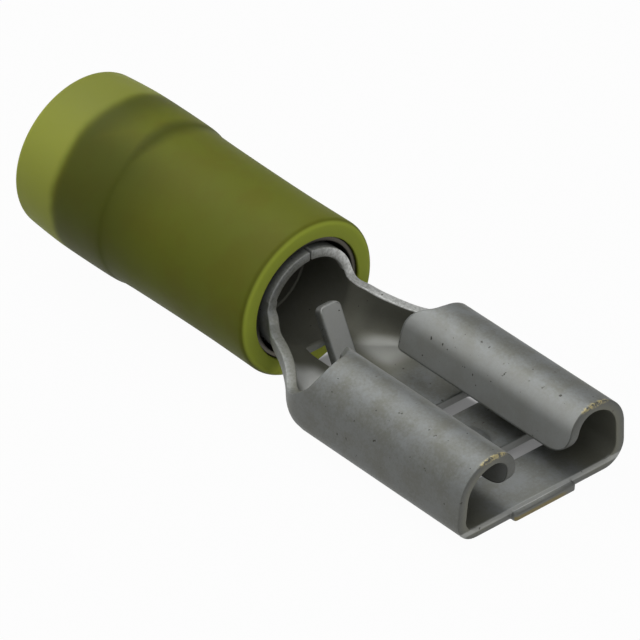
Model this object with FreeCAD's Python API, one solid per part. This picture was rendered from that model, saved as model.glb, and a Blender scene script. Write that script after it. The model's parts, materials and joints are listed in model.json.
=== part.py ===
import FreeCAD, Part
import math
import os

from FreeCAD import Placement, Rotation, Vector

# Insulated female spade terminal for a 6.35 x 0.81 mm tab, lying as it comes to rest.
# It is worked out in its own axes first: X runs along the terminal with the mouth at +X,
# Z is up, x = 0 is the front face of the insulating tube and the wire barrel's axis is y = z = 0.
# Lengths are in millimetres and angles in degrees.

# Mating tab
TAB_WIDTH = 6.35
TAB_THICKNESS = 0.81

# Stamped sheet and the wire barrel rolled from it
SHEET = 0.37
BARREL_BORE_R = 1.63
BARREL_REAR_X = -6.90
BARREL_NOSE_X = 0.08
SEAM_GAP = 0.10
SEAM_ANGLE = 90.0
GROOVE_COUNT = 3
GROOVE_PITCH = 1.6
GROOVE_WIDTH = 0.45
GROOVE_DEPTH = 0.07

# Receptacle
MOUTH_X = 11.66
TAB_SIDE_CLEARANCE = 0.265
TAB_SQUEEZE = 0.05
RECEPTACLE_START_X = 3.8
FLOOR_BEND_R = 0.87
WALL_HEIGHT = 0.70
WALL_LEAN = 4.0
SHOULDER_R = 1.50
CURL_R = 1.00
LIP_LEAN_IN = 5.0
LIP_FRONT_R = 1.10
LIP_EDGE_R = 0.10

# Neck: station x, half width of the flat floor, outer radius of the corner, lean of the wall
NECK_START_X = -0.10
NECK_START_FLOOR = 0.04
NECK_STATIONS = (
    (0.20, 0.10, 1.97, 0.0),
    (0.64, 0.36, 1.93, 0.0),
    (1.20, 0.80, 1.68, 2.0),
    (1.75, 1.36, 1.37, 3.0),
    (2.25, 1.93, 1.11, 1.0),
    (2.80, 2.52, 0.95, 0.0),
    (3.30, 2.83, 0.89, 2.0),
)
NECK_WALL_TOP = 0.25

# Upper edge of the neck and rear edge of each rolled side, seen from the side
SHOULDER_EDGE = (
    (0.08, 0.34),
    (0.16, 0.15),
    (0.36, 0.03),
    (0.80, -0.08),
    (1.73, -0.26),
    (2.46, -0.46),
    (2.95, -0.52),
    (3.45, -0.33),
    (3.90, 0.05),
    (4.13, 0.42),
    (4.26, 0.80),
    (4.28, 1.30),
)
FLAP_REAR_EDGE = (
    (4.28, 1.06),
    (4.17, 1.00),
    (3.91, 0.90),
    (3.63, 0.73),
    (3.45, 0.45),
    (3.35, 0.12),
    (3.27, -0.33),
    (3.20, -1.05),
)
FLAP_START_X = 3.00
FLAP_SPLIT_Y = 2.30

# Floor: two through-slots with a raised detent between them, wire stop and its window
SLOT_NEAR_X = (5.71, 8.87)
SLOT_LENGTH_X = 0.77
SLOT_WIDTH_Y = 4.60
SLOT_CORNER_R = 0.10
DETENT_R = 0.90
DETENT_RISE = 0.16
CUTOFF_LENGTH = 0.23
CUTOFF_WIDTH = 2.80
CUTOFF_SIDE_R = 0.12
LEAD_IN_LENGTH = 0.08
LEAD_IN_DROP = 0.07
STOP_WIDTH = 0.96
STOP_HINGE_X = 2.30
STOP_ANGLE = 57.0
STOP_BEND_R = 0.20
STOP_LENGTH = 2.05
STOP_CORNER_R = 0.28
WINDOW_REAR_X = 0.38
WINDOW_SIDE_GAP = 0.02

# Metal grip sleeve round the barrel
GRIP_WALL = 0.20
GRIP_FRONT_X = -0.12
GRIP_REAR_X = -9.85
GRIP_MOUTH_FLARE = 0.14
GRIP_MOUTH_LENGTH = 0.90
GRIP_STEP_FRONT_X = -6.95
GRIP_STEP_REAR_X = -7.60
GRIP_BACK_BORE_R = 2.45

# Insulating tube: outer radius at stations along x
TUBE_LENGTH = 12.0
TUBE_STATIONS = (
    (-0.25, 3.00),
    (-2.60, 2.975),
    (-5.20, 3.00),
    (-7.05, 3.045),
    (-7.70, 3.125),
    (-9.90, 3.147),
    (-11.00, 3.105),
    (-11.80, 3.045),
)
TUBE_FRONT_R = 0.25
TUBE_REAR_R = 0.20
TUBE_INNER_EDGE_R = 0.05

# Derived sizes
BARREL_R = BARREL_BORE_R + SHEET
FLOOR_UNDER_Z = -BARREL_R
FLOOR_TOP_Z = FLOOR_UNDER_Z + SHEET
OUTER_HALF_WIDTH = TAB_WIDTH / 2.0 + TAB_SIDE_CLEARANCE + SHEET
BEND_CENTRE_Y = OUTER_HALF_WIDTH - FLOOR_BEND_R
LIP_Z = FLOOR_TOP_Z + TAB_THICKNESS - TAB_SQUEEZE
CUTTER_REACH = 2.0 * OUTER_HALF_WIDTH
SAME_PLACE = 0.001


def unit(angle):
    """Unit vector in the YZ plane at an angle from +Y."""
    return Vector(0, math.cos(math.radians(angle)), math.sin(math.radians(angle)))


class Strip:
    """A strip of sheet bent in the YZ plane, followed along its outer face.

    The strip always bends to its left, so the outer face is the right-hand one and the
    inner face lies one sheet thickness to the left of it.
    """

    def __init__(self, start, heading, x):
        self.x = x
        self.point = Vector(x, start[0], start[1])
        self.heading = heading
        self.outer = []
        self.inner = []
        self.start = (self.point, self.inside())

    def inside(self):
        return self.point + unit(self.heading + 90) * SHEET

    def run(self, length):
        """Straight stretch."""
        end = self.point + unit(self.heading) * length
        inner_from = self.inside()
        self.outer.append(Part.LineSegment(self.point, end).toShape())
        self.point = end
        self.inner.append(Part.LineSegment(inner_from, self.inside()).toShape())
        return self

    def bend(self, radius, angle):
        """Bend to the left; the radius is that of the outer face."""
        centre = self.point + unit(self.heading + 90) * radius
        inner_from = self.inside()
        middle_dir = unit(self.heading - 90 + angle / 2.0)
        end = centre + unit(self.heading - 90 + angle) * radius
        middle = centre + middle_dir * radius
        inner_middle = centre + middle_dir * (radius - SHEET)
        self.outer.append(Part.Arc(self.point, middle, end).toShape())
        self.point = end
        self.heading += angle
        self.inner.append(Part.Arc(inner_from, inner_middle, self.inside()).toShape())
        return self

    def wire(self):
        """Closed outline of the strip's section."""
        tip = Part.LineSegment(self.point, self.inside()).toShape()
        root = Part.LineSegment(self.start[1], self.start[0]).toShape()
        return Part.Wire(self.outer + [tip] + self.inner[::-1] + [root])


def both_sides(half):
    """The half and its mirror image across y = 0, as one shape."""
    return half.fuse(half.mirror(Vector(0, 0, 0), Vector(0, 1, 0))).removeSplitter()


def smooth_edge(points):
    """Smooth curve through (x, z) points of the XZ plane."""
    curve = Part.BSplineCurve()
    curve.interpolate([Vector(x, 0, z) for x, z in points])
    return curve.toShape()


def straight_edges(points):
    """Straight edges that join (x, z) points of the XZ plane."""
    vectors = [Vector(x, 0, z) for x, z in points]
    return [Part.LineSegment(a, b).toShape() for a, b in zip(vectors, vectors[1:])]


def side_prism(points, y_from, y_to, corner_points):
    """Solid between a smooth curve in the XZ plane and the straight lines that close it."""
    closing = straight_edges([points[-1]] + corner_points + [points[0]])
    outline = Part.Face(Part.Wire([smooth_edge(points)] + closing))
    outline.translate(Vector(0, y_from, 0))
    return outline.extrude(Vector(0, y_to - y_from, 0))


def block(low, high):
    """Box between two corners."""
    size = Vector(*high) - Vector(*low)
    return Part.makeBox(size.x, size.y, size.z, Vector(*low))


def upright_edges(shape):
    """Straight edges that run along Z."""
    found = []
    for edge in shape.Edges:
        span = edge.Vertexes[0].Point - edge.Vertexes[-1].Point
        if math.hypot(span.x, span.y) < SAME_PLACE:
            found.append(edge)
    return found


def wire_barrel():
    """Rolled barrel with its butt seam and the grip grooves of its bore."""
    axis = Vector(1, 0, 0)
    rear = Vector(BARREL_REAR_X, 0, 0)
    length = BARREL_NOSE_X - BARREL_REAR_X
    barrel = Part.makeCylinder(BARREL_R, length, rear, axis)
    barrel = barrel.cut(Part.makeCylinder(BARREL_BORE_R, length, rear, axis))
    middle = BARREL_REAR_X / 2.0
    for i in range(GROOVE_COUNT):
        x = middle + (i - (GROOVE_COUNT - 1) / 2.0) * GROOVE_PITCH - GROOVE_WIDTH / 2.0
        ring = Part.makeCylinder(BARREL_BORE_R + GROOVE_DEPTH, GROOVE_WIDTH, Vector(x, 0, 0), axis)
        barrel = barrel.cut(ring)
    seam = block((BARREL_REAR_X - SHEET, BARREL_BORE_R / 2.0, -SEAM_GAP / 2.0),
                 (BARREL_NOSE_X + SHEET, BARREL_R + SHEET, SEAM_GAP / 2.0))
    seam.rotate(Vector(0, 0, 0), axis, SEAM_ANGLE)
    return barrel.cut(seam)


def neck_section(x, floor_half, corner_r, lean):
    """Right half of the open trough: floor, corner and side wall."""
    wall_foot = FLOOR_UNDER_Z + corner_r
    wall = (NECK_WALL_TOP - wall_foot) / math.cos(math.radians(lean))
    strip = Strip((0.0, FLOOR_UNDER_Z), 0.0, x)
    return strip.run(floor_half).bend(corner_r, 90.0 + lean).run(wall).wire()


def neck():
    """Trough that opens out from the barrel to the receptacle's width."""
    first = (NECK_START_X, NECK_START_FLOOR, BARREL_R - NECK_START_FLOOR, 0.0)
    last = (RECEPTACLE_START_X, BEND_CENTRE_Y, FLOOR_BEND_R, WALL_LEAN)
    wires = [neck_section(*station) for station in (first, *NECK_STATIONS, last)]
    return both_sides(Part.makeLoft(wires, True, False))


def rolled_sides():
    """Receptacle: floor with a side wall on each side rolled over and down to a lip."""
    strip = Strip((0.0, FLOOR_UNDER_Z), 0.0, FLAP_START_X)
    strip.run(BEND_CENTRE_Y).bend(FLOOR_BEND_R, 90.0 + WALL_LEAN).run(WALL_HEIGHT)
    strip.bend(SHOULDER_R, 90.0 - WALL_LEAN).bend(CURL_R, 90.0 - LIP_LEAN_IN)
    drop = (strip.point.z - LIP_Z) / math.cos(math.radians(LIP_LEAN_IN))
    strip.run(drop)
    half = Part.Face(strip.wire()).extrude(Vector(MOUTH_X - FLAP_START_X, 0, 0))
    tip_edges = []
    for edge in half.Edges:
        box = edge.BoundBox
        if box.XLength > SHEET and abs(box.Center.z - LIP_Z) < SHEET and box.Center.y < FLAP_SPLIT_Y:
            tip_edges.append(edge)
    half = half.makeFillet(LIP_EDGE_R, tip_edges)
    return half, strip.point.y


def rounded_front(lip_y):
    """Cutter for the rounded front corner of each lip, where the tab is led in."""
    centre_x = MOUTH_X - LIP_FRONT_R
    centre_z = LIP_Z + LIP_FRONT_R
    square = block((centre_x, 0, LIP_Z - SHEET / 2.0),
                   (MOUTH_X + SHEET, lip_y + 2 * SHEET, centre_z))
    round_part = Part.makeCylinder(LIP_FRONT_R, CUTTER_REACH, Vector(centre_x, -SHEET, centre_z),
                                   Vector(0, 1, 0))
    return square.cut(round_part)


def receptacle():
    """The rolled sides with their rear and front edges trimmed."""
    half, lip_y = rolled_sides()
    top = 2.0 * BARREL_R
    start = FLAP_START_X - SHEET
    neck_side = block((start, FLAP_SPLIT_Y, -top), (RECEPTACLE_START_X, CUTTER_REACH, top))
    flap_cut = side_prism(FLAP_REAR_EDGE, 0.0, FLAP_SPLIT_Y,
                          [(start, FLAP_REAR_EDGE[-1][1]), (start, FLAP_REAR_EDGE[0][1])])
    half = half.cut(neck_side).cut(flap_cut).cut(rounded_front(lip_y))
    return both_sides(half), top


def shoulder_cutter(top):
    """Everything above the upper edge of the neck and behind the rolled sides."""
    closing = [(SHOULDER_EDGE[-1][0], top), (SHOULDER_EDGE[0][0], top)]
    whole = side_prism(SHOULDER_EDGE, -CUTTER_REACH, CUTTER_REACH, closing)
    keep = block((FLAP_START_X, -FLAP_SPLIT_Y, -top), (MOUTH_X, FLAP_SPLIT_Y, top))
    return whole.cut(keep)


def wire_stop():
    """Tongue lanced from the floor and bent up, leaning back over its window."""
    half = STOP_WIDTH / 2.0
    tip_x = STOP_HINGE_X - STOP_LENGTH
    blade = block((tip_x, -half, FLOOR_UNDER_Z), (STOP_HINGE_X, half, FLOOR_TOP_Z))
    tip_corners = [e for e in upright_edges(blade) if e.CenterOfMass.x < tip_x + SAME_PLACE]
    blade = blade.makeFillet(STOP_CORNER_R, tip_corners)
    hinge = Vector(STOP_HINGE_X, 0, FLOOR_TOP_Z + STOP_BEND_R)
    across = Vector(0, 1, 0)
    root = max(blade.Faces, key=lambda face: face.CenterOfMass.x)
    bend = root.revolve(hinge, across, STOP_ANGLE)
    blade.rotate(hinge, across, STOP_ANGLE)
    return bend.fuse(blade)


def floor_slots():
    """The two through-slots beside the detent."""
    slots = []
    for x in SLOT_NEAR_X:
        slot = block((x, -SLOT_WIDTH_Y / 2.0, FLOOR_UNDER_Z - SHEET),
                     (x + SLOT_LENGTH_X, SLOT_WIDTH_Y / 2.0, FLOOR_TOP_Z + SHEET))
        slots.append(slot.makeFillet(SLOT_CORNER_R, upright_edges(slot)))
    return slots


def detent():
    """Raised round dimple of the floor panel, and the hollow under it."""
    radius = (DETENT_R ** 2 + DETENT_RISE ** 2) / (2.0 * DETENT_RISE)
    x = (SLOT_NEAR_X[0] + SLOT_LENGTH_X + SLOT_NEAR_X[1]) / 2.0
    centre = Vector(x, 0, FLOOR_TOP_Z + DETENT_RISE - radius)
    above = block((x - DETENT_R, -DETENT_R, FLOOR_TOP_Z - SHEET / 2.0),
                  (x + DETENT_R, DETENT_R, FLOOR_TOP_Z + DETENT_RISE + SHEET))
    cap = Part.makeSphere(radius, centre).common(above)
    hollow_box = block((x - DETENT_R, -DETENT_R, FLOOR_UNDER_Z - SHEET),
                       (x + DETENT_R, DETENT_R, FLOOR_TOP_Z))
    hollow = Part.makeSphere(radius - SHEET, centre).common(hollow_box)
    return cap, hollow


def cutoff_tab():
    """Stub left at the mouth where the terminal was cut from its carrier strip."""
    half = CUTOFF_WIDTH / 2.0
    stub = block((MOUTH_X - SHEET, -half, FLOOR_UNDER_Z), (MOUTH_X + CUTOFF_LENGTH, half, FLOOR_TOP_Z))
    front = [e for e in upright_edges(stub) if e.CenterOfMass.x > MOUTH_X]
    return stub.makeFillet(CUTOFF_SIDE_R, front)


def lead_in():
    """Cutter that slopes the floor's front edge down to the stub, to lead the tab in."""
    start_x = MOUTH_X - LEAD_IN_LENGTH
    front_x = MOUTH_X + CUTOFF_LENGTH + SHEET
    low_z = FLOOR_TOP_Z - LEAD_IN_DROP
    clear_z = FLOOR_TOP_Z + LEAD_IN_DROP
    corners = [(start_x, FLOOR_TOP_Z), (MOUTH_X, low_z), (front_x, low_z), (front_x, clear_z),
               (start_x, clear_z), (start_x, FLOOR_TOP_Z)]
    outline = Part.Face(Part.Wire(straight_edges(corners)))
    outline.translate(Vector(0, -BEND_CENTRE_Y, 0))
    return outline.extrude(Vector(0, 2.0 * BEND_CENTRE_Y, 0))


def window():
    """Opening that the wire stop was lanced from."""
    half = STOP_WIDTH / 2.0 + WINDOW_SIDE_GAP
    opening = block((WINDOW_REAR_X, -half, FLOOR_UNDER_Z - SHEET),
                    (STOP_HINGE_X, half, FLOOR_TOP_Z + SHEET))
    rear = [e for e in upright_edges(opening) if e.CenterOfMass.x < WINDOW_REAR_X + SAME_PLACE]
    return opening.makeFillet(SLOT_CORNER_R, rear)


def terminal_body():
    """The whole stamping: barrel, neck, wire stop and rolled receptacle in one sheet."""
    rolled, top = receptacle()
    body = wire_barrel().fuse(neck()).fuse(rolled)
    body = body.cut(shoulder_cutter(top))
    cap, hollow = detent()
    body = body.fuse(cap).cut(hollow)
    for slot in floor_slots():
        body = body.cut(slot)
    body = body.cut(window())
    body = body.fuse(cutoff_tab()).cut(lead_in()).fuse(wire_stop())
    return body.removeSplitter()


def turned(profile):
    """Ring turned about the X axis from the edges of a closed outline with z as its radius."""
    return Part.Face(Part.Wire(profile)).revolve(Vector(0, 0, 0), Vector(1, 0, 0), 360)


def quarter_round(start, end, centre):
    """Quarter circle between two (x, z) points."""
    radius = math.hypot(start[0] - centre[0], start[1] - centre[1])
    way = Vector(start[0] + end[0] - 2 * centre[0], 0, start[1] + end[1] - 2 * centre[1])
    middle = Vector(centre[0], 0, centre[1]) + way.normalize() * radius
    return Part.Arc(Vector(start[0], 0, start[1]), middle, Vector(end[0], 0, end[1])).toShape()


def grip_path(offset):
    """Bore of the grip sleeve from its front rim to its rear end, moved out by an offset."""
    bore = BARREL_R + offset
    back = GRIP_BACK_BORE_R + offset
    return [
        (GRIP_FRONT_X, bore + GRIP_MOUTH_FLARE),
        (GRIP_FRONT_X - GRIP_MOUTH_LENGTH / 3.0, bore + GRIP_MOUTH_FLARE),
        (GRIP_FRONT_X - GRIP_MOUTH_LENGTH, bore),
        (GRIP_STEP_FRONT_X, bore),
        (GRIP_STEP_REAR_X, back),
        (GRIP_REAR_X, back),
    ]


def grip_sleeve():
    """Thin metal sleeve, pressed over the barrel and wider behind it for the insulation."""
    inner = grip_path(0.0)
    outer = grip_path(GRIP_WALL)
    return turned(straight_edges(inner + outer[::-1] + [inner[0]]))


def insulator():
    """Insulating tube, moulded close round the grip sleeve and rounded at both ends."""
    seat = grip_path(GRIP_WALL)
    front_x, front_r = TUBE_STATIONS[0]
    rear_x, rear_r = TUBE_STATIONS[-1]
    face_top = (0.0, front_r - TUBE_FRONT_R)
    rear_face = (-TUBE_LENGTH, rear_r - TUBE_REAR_R)
    seat_front = (0.0, seat[0][1] + TUBE_INNER_EDGE_R)
    rear_inner = (-TUBE_LENGTH, seat[-1][1] + TUBE_INNER_EDGE_R)
    bore = [(-TUBE_INNER_EDGE_R, seat[0][1])] + seat + [(TUBE_INNER_EDGE_R - TUBE_LENGTH, seat[-1][1])]
    profile = straight_edges([face_top, seat_front] + bore + [rear_inner, rear_face])
    profile.append(quarter_round(rear_face, (rear_x, rear_r), (rear_x, rear_face[1])))
    profile.append(smooth_edge(TUBE_STATIONS[::-1]))
    profile.append(quarter_round((front_x, front_r), face_top, (front_x, face_top[1])))
    return turned(profile)


def rest_placement():
    """Turn that lays the terminal down on its cut-off stub and the tube's front edge."""
    nose = (MOUTH_X + CUTOFF_LENGTH, FLOOR_UNDER_Z)
    round_centre = (TUBE_STATIONS[0][0], TUBE_FRONT_R - TUBE_STATIONS[0][1])
    back = nose[0] - round_centre[0]
    fall = nose[1] - round_centre[1]
    slope = math.atan2(fall, back) + math.asin(TUBE_FRONT_R / math.hypot(back, fall))
    turn = Rotation(Vector(0, 1, 0), math.degrees(slope))
    return Placement(Vector(0, 0, 0), turn)


def main():
    pieces = {
        "terminal_body": terminal_body(),
        "grip_sleeve": grip_sleeve(),
        "insulator": insulator(),
    }
    laid = rest_placement()
    for shape in pieces.values():
        shape.Placement = laid.multiply(shape.Placement)
    box = Part.makeCompound(list(pieces.values())).optimalBoundingBox(False, False)
    drop = Vector(-box.Center.x, 0, -box.ZMin)
    os.makedirs("parts", exist_ok=True)
    for name, shape in pieces.items():
        shape.translate(drop)
        shape.exportStep("parts/" + name + ".step")


main()
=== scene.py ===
import json
import logging
import math
from dataclasses import dataclass
from enum import Enum
from functools import reduce

import bmesh
import bpy
from mathutils import Matrix, Vector


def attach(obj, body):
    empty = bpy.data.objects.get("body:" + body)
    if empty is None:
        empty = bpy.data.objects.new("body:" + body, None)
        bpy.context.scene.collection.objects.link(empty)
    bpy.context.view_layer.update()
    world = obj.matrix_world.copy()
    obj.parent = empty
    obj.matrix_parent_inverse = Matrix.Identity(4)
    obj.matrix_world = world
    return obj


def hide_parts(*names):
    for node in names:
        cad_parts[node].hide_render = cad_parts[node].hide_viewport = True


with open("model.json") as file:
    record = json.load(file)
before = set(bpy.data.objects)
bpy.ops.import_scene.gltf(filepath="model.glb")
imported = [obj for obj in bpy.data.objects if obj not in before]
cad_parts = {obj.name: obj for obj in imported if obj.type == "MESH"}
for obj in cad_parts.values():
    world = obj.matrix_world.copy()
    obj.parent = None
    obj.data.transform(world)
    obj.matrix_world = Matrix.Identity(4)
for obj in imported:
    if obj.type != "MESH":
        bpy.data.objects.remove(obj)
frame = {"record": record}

# Insulated female spade terminal on a white sweep. Sizes in the classes are in millimetres, in
# the terminal's own axes: X runs along it towards the mouth, x = 0 is the tube's front face, Z is
# up and the wire barrel's axis is y = z = 0. The mesh is then laid in the frame, in metres.

MM = 0.001
# Places nearer to each other than this, in millimetres, are one place.
SAME = 0.0005
# Faces that meet at more than this have a cut edge between them.
CUT_EDGE_DEG = 60.0
# Range that a noise from 0 to 1 mostly keeps to.
MIDDLE = (0.2, 0.8)
LOG = logging.getLogger("spade_terminal")

Colour = tuple[float, float, float, float]
Point = tuple[float, float]
Profile = list[Point]
Fade = tuple[float, ...]
Station = tuple[float, ...]
Stretch = tuple[float, float]
Socket = bpy.types.NodeSocket
Mesh = bmesh.types.BMesh
Edge = bmesh.types.BMEdge
Layer = bmesh.types.BMLayerItem


class Slot(Enum):
    """Material slots of the record."""

    SHEET = "tinned_sheet"
    SLEEVE = "sleeve_metal"
    TUBE = "insulation"


@dataclass(frozen=True)
class OwnAxes:
    """The terminal's own axes, as they lie in the frame."""

    nose_x: float = 0.08

    def matrix(self) -> Matrix:
        """Turn and place from millimetres in the terminal's own axes to metres in the frame.

        Returns:
            The matrix, worked out from the wire barrel's mount in the record.
        """
        mounts = frame["record"]["mounts"]
        barrel = next(m for m in mounts if m["name"] == "wire_barrel")
        along = -Vector(barrel["axis"]).normalized()
        across = Vector((0.0, 1.0, 0.0))
        up = along.cross(across)
        to_nose = (barrel["dims"]["length_mm"] / 2.0 - self.nose_x) * MM
        origin = Vector(barrel["pos_m"]) + along * to_nose
        turn = Matrix((along, across, up)).transposed().to_4x4()
        return Matrix.Translation(origin) @ turn @ Matrix.Scale(MM, 4)


OWN = OwnAxes().matrix()


@dataclass(frozen=True)
class Zone:
    """Part of the terminal where a finish, painted light or painted shade shows, fading in and out
    along its own axes.

    Each fade holds where there is none of the finish and where it is full. A zone that ends again
    also holds where it is full for the last time and where there is none. The side is the distance
    from the middle plane, and worn is the mesh's own value for its broken edges.
    """

    share: float = 1.0
    x: Fade = ()
    y: Fade = ()
    side: Fade = ()
    z: Fade = ()
    worn: Fade = ()


class NodeGraph:
    """A material's node tree with short calls for the nodes that the finishes use."""

    def __init__(self, name: str, axes: Matrix = OWN) -> None:
        """Start a material with a Principled shader.

        Args:
            name: Name of the material.
            axes: Axes, in millimetres, that its patterns are laid out in.
        """
        self.material = bpy.data.materials.new(name)
        self.material.use_nodes = True
        self.tree = self.material.node_tree
        self.shader = self.tree.nodes["Principled BSDF"]
        back = axes.inverted()
        self.place = self.node("Mapping", {
            "Vector": self.node("TexCoord", {}).outputs["Object"],
            "Location": back.to_translation(),
            "Rotation": back.to_euler(),
            "Scale": back.to_scale(),
        }).outputs["Vector"]
        self.x, self.y, self.z = self.node("SeparateXYZ", {0: self.place}).outputs
        self.side = self.math("ABSOLUTE", self.y)

    def node(self, kind: str, inputs: dict[str | int, object],
             **settings: object) -> bpy.types.Node:
        """Add a node.

        Args:
            kind: Blender's name of the node, after ShaderNode.
            inputs: Sockets to link or values to set, by the input's name or number.
            **settings: The node's own settings.

        Returns:
            The node.
        """
        node = self.tree.nodes.new("ShaderNode" + kind)
        for name, value in settings.items():
            setattr(node, name, value)
        for name, value in inputs.items():
            self.feed(node.inputs[name], value)
        return node

    def feed(self, target: Socket, value: object) -> None:
        """Link an input, or set it.

        Args:
            target: The input.
            value: A socket to link, or the value itself.
        """
        if isinstance(value, Socket):
            self.tree.links.new(value, target)
        else:
            target.default_value = value

    def put(self, socket: str, value: object) -> None:
        """Link or set an input of the shader, by its name."""
        self.feed(self.shader.inputs[socket], value)

    def attribute(self, name: str) -> Socket:
        """Value that the mesh holds under a name."""
        return self.node("Attribute", {}, attribute_name=name).outputs["Fac"]

    def stretched(self, scale: tuple[float, float, float]) -> Socket:
        """The place scaled along each axis, for grain that runs one way."""
        return self.node("Mapping", {"Vector": self.place, "Scale": scale}).outputs["Vector"]

    def noise(self, per_mm: float, detail: float = 3.0, rough: float = 0.5, seed: float = 0.0,
              place: Socket | None = None) -> Socket:
        """Smooth noise from 0 to 1.

        Args:
            per_mm: Features per millimetre.
            detail: Octaves.
            rough: Weight of the finer octaves.
            seed: Picks another pattern.
            place: Coordinates, the place when it is left out.

        Returns:
            The noise.
        """
        inputs = {"Vector": place or self.place, "Scale": per_mm, "Detail": detail,
                  "Roughness": rough, "W": seed}
        return self.node("TexNoise", inputs, noise_dimensions="4D").outputs["Fac"]

    def math(self, operation: str, *values: object) -> Socket:
        """One step of arithmetic, by the name of Blender's Math operation."""
        return self.node("Math", dict(enumerate(values)), operation=operation).outputs[0]

    def times(self, *factors: object) -> Socket:
        """Product of shares."""
        return reduce(lambda a, b: self.math("MULTIPLY", a, b), factors)

    def most(self, *shares: object) -> Socket:
        """The largest of several shares."""
        return reduce(lambda a, b: self.math("MAXIMUM", a, b), shares)

    def band(self, value: Socket, low: float, high: float, to_low: float = 0.0,
             to_high: float = 1.0) -> Socket:
        """Smooth step of a value from one level to another.

        Args:
            value: The value that is stepped.
            low: Where the step starts.
            high: Where it ends.
            to_low: Result up to the start.
            to_high: Result from the end on.

        Returns:
            The result.
        """
        inputs = {"Value": value, "From Min": low, "From Max": high, "To Min": to_low,
                  "To Max": to_high}
        return self.node("MapRange", inputs, interpolation_type="SMOOTHSTEP").outputs["Result"]

    def fade(self, value: Socket, ends: Fade, share: float = 1.0) -> Socket:
        """Share that comes, and may go again, along a value.

        Args:
            value: The value that it follows.
            ends: Where there is none and where it is full, then perhaps full and none again.
            share: The full share.

        Returns:
            The share at the value.
        """
        none, full = ends[:2]
        if none < full:
            shown = self.band(value, none, full, 0.0, share)
        else:
            shown = self.band(value, full, none, share, 0.0)
        if len(ends) > 2:
            shown = self.times(shown, self.band(value, ends[2], ends[3], 1.0, 0.0))
        return shown

    def zone(self, zone: Zone) -> Socket:
        """Share of a finish in its zone.

        Args:
            zone: Where the finish shows.

        Returns:
            The share, up to the zone's own.
        """
        fades = [(self.x, zone.x), (self.y, zone.y), (self.side, zone.side), (self.z, zone.z)]
        if zone.worn:
            fades.append((self.attribute("worn"), zone.worn))
        shown = [self.fade(value, ends) for value, ends in fades if ends]
        return self.times(*shown, zone.share)

    def mix(self, share: Socket, first: object, second: object) -> Socket:
        """Mix of two colours; a share of 0 is the first."""
        inputs = {"Factor": share, "A": first, "B": second}
        return self.node("Mix", inputs, data_type="RGBA").outputs["Result"]

    def bump(self, height: Socket, depth_mm: float, strength: float,
             under: Socket | None = None) -> Socket:
        """Bump from a height of 0 to 1.

        Args:
            height: The height pattern.
            depth_mm: How deep the whole range is.
            strength: Share of the effect.
            under: A bump that this one lies on.

        Returns:
            The bumped normal.
        """
        inputs = {"Strength": strength, "Distance": depth_mm * MM, "Height": height}
        if under:
            inputs["Normal"] = under
        return self.node("Bump", inputs).outputs["Normal"]


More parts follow.
